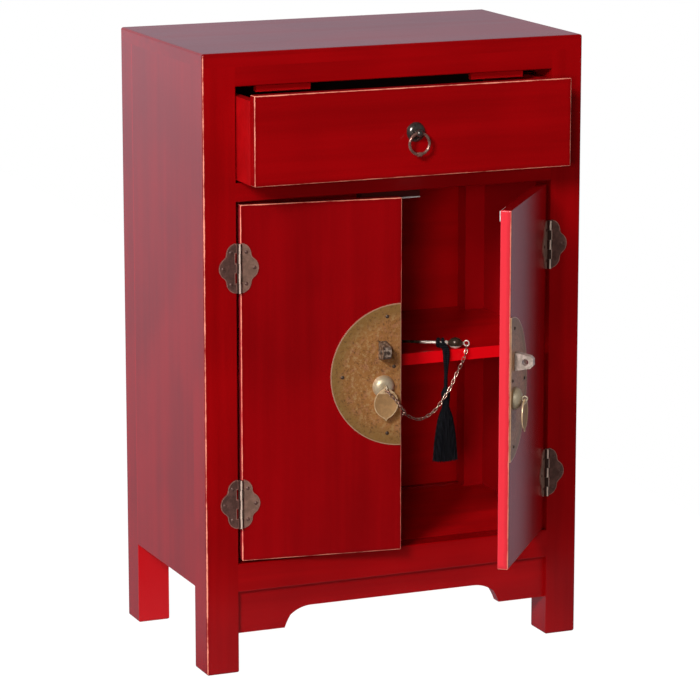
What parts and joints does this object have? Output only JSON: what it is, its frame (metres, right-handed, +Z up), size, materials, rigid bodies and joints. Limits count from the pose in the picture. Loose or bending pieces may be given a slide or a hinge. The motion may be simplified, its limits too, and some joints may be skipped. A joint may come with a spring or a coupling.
{
  "type": "entryway cabinet",
  "caption": "Small red-lacquered entryway cabinet on square legs, with a ring-pull drawer over inset doors that carry brass half-moon lock plates and a chained lock pin.",
  "frame": {"origin": "on the floor, under the middle of the box that the cabinet fills with its door and drawer open", "axes": "+Z up, the front faces -Y, +X to the viewer's right"},
  "size_m": [0.412, 0.3756, 0.63],
  "materials": {
    "red_lacquer": "glossy red lacquer over wood, edges worn pale",
    "inner_lacquer": "satin red lacquer inside",
    "drawer_lining": "black stained inside of the drawer",
    "plate_brass": "sheet brass with a brown patina",
    "polished_brass": "cast brass, polished by use",
    "dark_bronze": "dark bronze patina",
    "catch_steel": "zinc-plated steel",
    "catch_plastic": "dark brown moulded plastic",
    "tassel_black": "black rayon cord and fringe"
  },
  "bodies": {
    "cabinet": {"leg_front_left": "red_lacquer", "leg_front_right": "red_lacquer", "leg_rear_left": "red_lacquer", "leg_rear_right": "red_lacquer", "top_panel": "red_lacquer", "top_rail": "red_lacquer", "divider_rail": "red_lacquer", "bottom_rail": "red_lacquer", "rear_bottom_rail": "red_lacquer", "apron": "red_lacquer", "side_panel_left": "red_lacquer", "side_panel_right": "red_lacquer", "back_panel": "inner_lacquer", "bottom_panel": "inner_lacquer", "shelf": "inner_lacquer", "shelf_batten_left": "inner_lacquer", "shelf_batten_right": "inner_lacquer", "drawer_runner_left": "inner_lacquer", "drawer_runner_right": "inner_lacquer", "drawer_stop_blocks": "red_lacquer", "catch_body": "catch_plastic", "catch_pole_plates": "catch_steel", "left_frame_hinge_leaves": "dark_bronze", "right_frame_hinge_leaves": "dark_bronze", "hinge_pins": "dark_bronze", "frame_hinge_nails": "dark_bronze", "lock_chain": "polished_brass"},
    "drawer": {"drawer_front": "red_lacquer", "drawer_side_left": "red_lacquer", "drawer_side_right": "red_lacquer", "drawer_back": "drawer_lining", "drawer_bottom": "drawer_lining", "drawer_rosette": "dark_bronze", "drawer_ring_post": "dark_bronze"},
    "drawer_ring": {"drawer_ring": "dark_bronze"},
    "left_door": {"left_door_panel": "red_lacquer", "left_door_hinge_leaves": "dark_bronze", "left_door_hinge_nails": "dark_bronze", "left_half_moon_plate": "plate_brass", "left_plate_nails": "dark_bronze", "left_lug": "polished_brass", "left_rosette": "polished_brass", "left_eye_pin": "polished_brass", "left_strike_plate": "catch_steel"},
    "left_pendant": {"left_pendant": "polished_brass"},
    "right_door": {"right_door_panel": "red_lacquer", "right_door_hinge_leaves": "dark_bronze", "right_door_hinge_nails": "dark_bronze", "right_half_moon_plate": "plate_brass", "right_plate_nails": "dark_bronze", "right_lug": "polished_brass", "right_rosette": "polished_brass", "right_eye_pin": "polished_brass", "right_strike_plate": "catch_steel"},
    "right_pendant": {"right_pendant": "polished_brass"},
    "lock_pin": {"lock_pin": "polished_brass", "tassel_cord": "tassel_black", "tassel_head": "tassel_black", "tassel_skirt": "tassel_black"}
  },
  "joints": [
    {"name": "drawer_slide", "type": "slide", "parent": "cabinet", "child": "drawer", "axis": [0, -1, 0], "range_m": [-0.048, 0.092]},
    {"name": "drawer_ring_swing", "type": "hinge", "parent": "drawer", "child": "drawer_ring", "pos_m": [0, -0.10922, 0.54865], "axis": [-1, 0, 0], "range_deg": [-10, 100]},
    {"name": "left_door_hinge", "type": "hinge", "parent": "cabinet", "child": "left_door", "pos_m": [-0.17, -0.05522, 0.297], "axis": [0, 0, -1], "range_deg": [-7.2, 112.8], "deforming": ["lock_chain"]},
    {"name": "left_pendant_swing", "type": "hinge", "parent": "left_door", "child": "left_pendant", "pos_m": [-0.02339, -0.08196, 0.28775], "axis": [-0.9921, 0.1253, 0], "range_deg": [-5, 100]},
    {"name": "right_door_hinge", "type": "hinge", "parent": "cabinet", "child": "right_door", "pos_m": [0.17, -0.05522, 0.297], "axis": [0, 0, 1], "range_deg": [-52, 68]},
    {"name": "right_pendant_swing", "type": "hinge", "parent": "right_door", "child": "right_pendant", "pos_m": [0.08481, -0.1775, 0.28775], "axis": [-0.6157, -0.788, 0], "range_deg": [-5, 100]},
    {"name": "lock_pin_lift", "type": "slide", "parent": "cabinet", "child": "lock_pin", "axis": [0, 0, 1], "range_m": [0, 0.018]}
  ]
}
